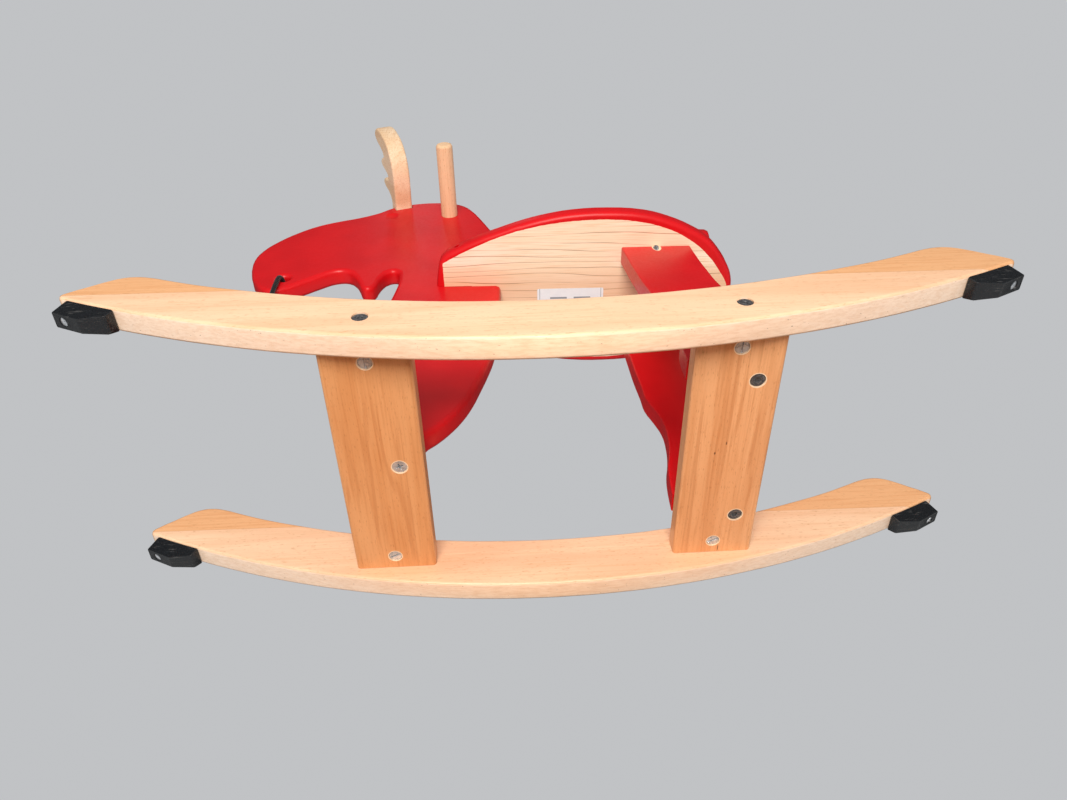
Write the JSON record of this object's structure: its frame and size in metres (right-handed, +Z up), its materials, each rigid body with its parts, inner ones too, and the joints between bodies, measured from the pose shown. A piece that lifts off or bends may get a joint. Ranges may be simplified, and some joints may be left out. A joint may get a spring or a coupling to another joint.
{
  "type": "rocking horse",
  "caption": "Child's wooden rocking animal: curved rockers, cross boards, flat head and neck board with antlers and a handle, seat with a low backrest, splayed hind legs and a rein.",
  "frame": {"origin": "on the floor, under the middle of the rockers, with the toy standing level", "axes": "+X towards the head, +Y to the rider's left, +Z up"},
  "size_m": [0.811, 0.2932, 0.6736],
  "materials": {
    "pale_beech": "clear satin lacquer over pale beech",
    "beech": "clear satin lacquer over warm brown beech",
    "turned_beech": "clear matt lacquer over sawn and turned beech",
    "peg_wood": "bare fluted beech",
    "red_paint": "red satin paint over wood",
    "black_plastic": "moulded black plastic, semi-gloss",
    "black_steel": "black oxide steel",
    "zinc": "bright zinc-plated steel",
    "label_film": "blank white film",
    "black_cord": "black braided cord"
  },
  "bodies": {
    "root": {"antler_board": "turned_beech", "antler_screw": "zinc", "backrest": "red_paint", "backrest_peg_a": "peg_wood", "backrest_peg_b": "peg_wood", "blank_label": "label_film", "cross_board_front": "beech", "cross_board_rear": "beech", "end_stop_front_left": "black_plastic", "end_stop_front_right": "black_plastic", "end_stop_rear_left": "black_plastic", "end_stop_rear_right": "black_plastic", "end_stop_screw_front_left": "zinc", "end_stop_screw_front_right": "zinc", "end_stop_screw_rear_left": "zinc", "end_stop_screw_rear_right": "zinc", "handle_dowel": "turned_beech", "head_board": "red_paint", "head_peg": "peg_wood", "head_screw": "zinc", "hind_leg_left": "red_paint", "hind_leg_right": "red_paint", "leg_bolt_left": "black_steel", "leg_bolt_right": "black_steel", "leg_foot_nut_left": "zinc", "leg_foot_nut_right": "zinc", "leg_foot_peg_left": "peg_wood", "leg_foot_peg_right": "peg_wood", "leg_top_peg_left_a": "peg_wood", "leg_top_peg_left_b": "peg_wood", "leg_top_peg_right_a": "peg_wood", "leg_top_peg_right_b": "peg_wood", "rein_cord_left": "black_cord", "rein_cord_right": "black_cord", "rein_knot": "black_cord", "rocker_bolt_front_left": "black_steel", "rocker_bolt_front_right": "black_steel", "rocker_bolt_rear_left": "black_steel", "rocker_bolt_rear_right": "black_steel", "rocker_left": "pale_beech", "rocker_nut_front_left": "zinc", "rocker_nut_front_right": "zinc", "rocker_nut_rear_left": "zinc", "rocker_nut_rear_right": "zinc", "rocker_peg_front_left_a": "peg_wood", "rocker_peg_front_left_b": "peg_wood", "rocker_peg_front_right_a": "peg_wood", "rocker_peg_front_right_b": "peg_wood", "rocker_peg_rear_left_a": "peg_wood", "rocker_peg_rear_left_b": "peg_wood", "rocker_peg_rear_right_a": "peg_wood", "rocker_peg_rear_right_b": "peg_wood", "rocker_right": "pale_beech", "seat_board": "red_paint", "seat_screw_left": "zinc", "seat_screw_right": "zinc", "toe_screw_left": "zinc", "toe_screw_right": "zinc"}
  },
  "joints": []
}
